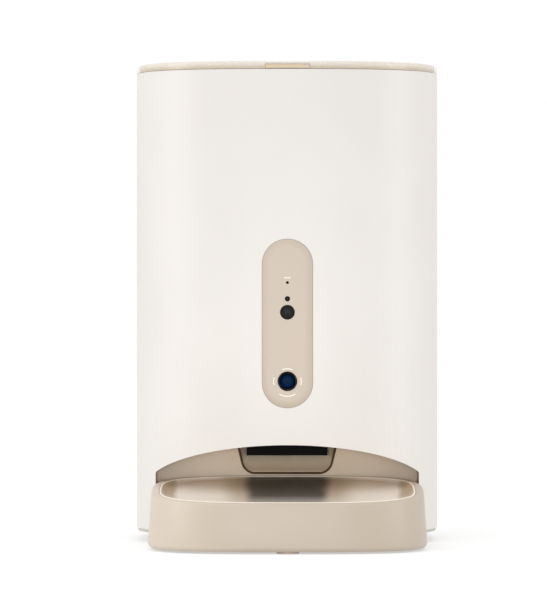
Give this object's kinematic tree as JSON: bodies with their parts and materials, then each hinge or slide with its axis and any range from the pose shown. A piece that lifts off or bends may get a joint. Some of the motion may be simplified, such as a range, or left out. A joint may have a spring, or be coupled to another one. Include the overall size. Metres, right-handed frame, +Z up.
{
  "type": "automatic pet feeder",
  "caption": "Tower pet feeder with a camera, a hinged clear lid over a food hopper, a portion rotor, a chute in an arch and a slide-out tray with a steel bowl.",
  "frame": {"origin": "on the floor, at the middle of the whole part's width and depth, tray included", "axes": "+Z up, -Y towards the front where the tray and the camera are, +X to the right seen from the front"},
  "size_m": [0.2, 0.29, 0.3139],
  "materials": {
    "body_white": "satin moulded ABS, warm white",
    "base_grey": "fine textured moulded plastic",
    "recess_beige": "semi-gloss moulded plastic, warm beige",
    "tray_beige": "satin moulded plastic, warm beige",
    "plate_beige": "satin moulded plastic, warm beige",
    "lid_beige": "satin moulded plastic, warm beige",
    "lid_clear": "clear polished acrylic with a milky edge",
    "inner_grey": "plain moulded plastic",
    "hopper_smoke": "smooth food-safe moulded plastic",
    "rotor_beige": "smooth food-safe moulded plastic",
    "desiccant_white": "smooth moulded plastic",
    "button_grey": "satin moulded plastic",
    "black_plastic": "matte black moulded plastic",
    "black_gloss": "polished black moulded plastic",
    "gear_nylon": "natural nylon",
    "silicone": "soft translucent silicone",
    "foot_rubber": "soft anti-slip rubber",
    "board_green": "green circuit board lacquer",
    "steel": "bright steel",
    "motor_steel": "plain drawn steel can",
    "bowl_steel": "brushed stainless steel, fine grain across",
    "battery_can": "bare cell can",
    "brass": "cut brass",
    "lens_glass": "coated glass with a deep blue reflection",
    "smoke_window": "infrared-clear smoke window, polished"
  },
  "bodies": {
    "tower": {"body_shell": "body_white", "base_plate": "base_grey", "recess_housing": "recess_beige", "mid_deck": "inner_grey", "chute": "recess_beige", "flap_pin": "steel", "hopper": "hopper_smoke", "outlet_cover": "rotor_beige", "shaft_seal": "silicone", "idler_axle": "steel", "gearbox_case": "inner_grey", "gearbox_cover": "inner_grey", "drive_motor": "motor_steel", "battery_box": "inner_grey", "battery_contact_left": "steel", "battery_contact_right": "steel", "front_plate": "plate_beige", "lens_barrel": "black_gloss", "lens_glass": "lens_glass", "infrared_window": "smoke_window", "light_sensor": "smoke_window", "microphone": "black_plastic", "camera_housing": "black_plastic", "camera_board": "board_green", "main_board": "board_green", "rear_board": "board_green", "speaker": "black_plastic", "power_socket": "black_plastic", "socket_pin": "steel", "hinge_bridge": "lid_beige", "hinge_pin": "steel", "foot_front_left": "foot_rubber", "foot_front_right": "foot_rubber", "foot_rear_left": "foot_rubber", "foot_rear_right": "foot_rubber", "base_screw_1": "steel", "base_screw_2": "steel", "base_screw_3": "steel", "base_screw_4": "steel", "battery_cell_1": "battery_can", "battery_cell_2": "battery_can", "battery_cell_3": "battery_can"},
    "lid": {"lid_panel": "lid_clear", "lid_frame": "lid_beige", "lid_seal": "silicone", "desiccant_box": "desiccant_white"},
    "latch": {"lid_latch": "lid_beige"},
    "desiccant_cap": {"desiccant_cover": "desiccant_white"},
    "rotor": {"portion_rotor": "rotor_beige", "agitator": "rotor_beige", "rotor_shaft": "steel", "output_gear": "gear_nylon"},
    "idler": {"idler_gear": "gear_nylon"},
    "motor_rotor": {"motor_pinion": "brass"},
    "flap": {"outlet_flap": "black_plastic"},
    "tray": {"feeding_tray": "tray_beige"},
    "bowl": {"steel_bowl": "bowl_steel"},
    "door": {"battery_door": "base_grey"},
    "button": {"pair_button": "button_grey"}
  },
  "joints": [
    {"name": "lid_hinge", "type": "hinge", "parent": "tower", "child": "lid", "pos_m": [0, 0.127, 0.31145], "axis": [-1, 0, 0], "range_deg": [0, 95]},
    {"name": "latch_press", "type": "slide", "parent": "lid", "child": "latch", "axis": [0, 1, 0], "range_m": [0, 0.002], "stiffness_N_per_m": 500, "springref_m": -0.0005},
    {"name": "desiccant_twist", "type": "hinge", "parent": "lid", "child": "desiccant_cap", "pos_m": [0, 0.051, 0.295], "axis": [0, 0, 1], "range_deg": [0, 30]},
    {"name": "rotor_spin", "type": "hinge", "parent": "tower", "child": "rotor", "pos_m": [0, 0.073, 0.103], "axis": [0, 0, 1], "continuous": true},
    {"name": "idler_spin", "type": "hinge", "parent": "tower", "child": "idler", "pos_m": [0, 0.0922, 0.09], "axis": [0, 0, 1], "continuous": true},
    {"name": "motor_spin", "type": "hinge", "parent": "tower", "child": "motor_rotor", "pos_m": [0, 0.1114, 0.088], "axis": [0, 0, 1], "continuous": true},
    {"name": "flap_swing", "type": "hinge", "parent": "tower", "child": "flap", "pos_m": [0, 0.0261, 0.0795], "axis": [-1, 0, 0], "range_deg": [0, 30]},
    {"name": "tray_slide", "type": "slide", "parent": "tower", "child": "tray", "axis": [0, -1, 0], "range_m": [0, 0.075]},
    {"name": "bowl_lift", "type": "slide", "parent": "tray", "child": "bowl", "axis": [0, 0, 1], "range_m": [0, 0.008]},
    {"name": "door_slide", "type": "slide", "parent": "tower", "child": "door", "axis": [0, 1, 0], "range_m": [0, 0.006]},
    {"name": "button_press", "type": "slide", "parent": "tower", "child": "button", "axis": [0, -1, 0], "range_m": [0, 0.001], "stiffness_N_per_m": 600, "springref_m": -0.0005}
  ],
  "couplings": [
    {"joint": "idler_spin", "follows": "rotor_spin", "ratio": -3},
    {"joint": "motor_spin", "follows": "rotor_spin", "ratio": 9}
  ]
}
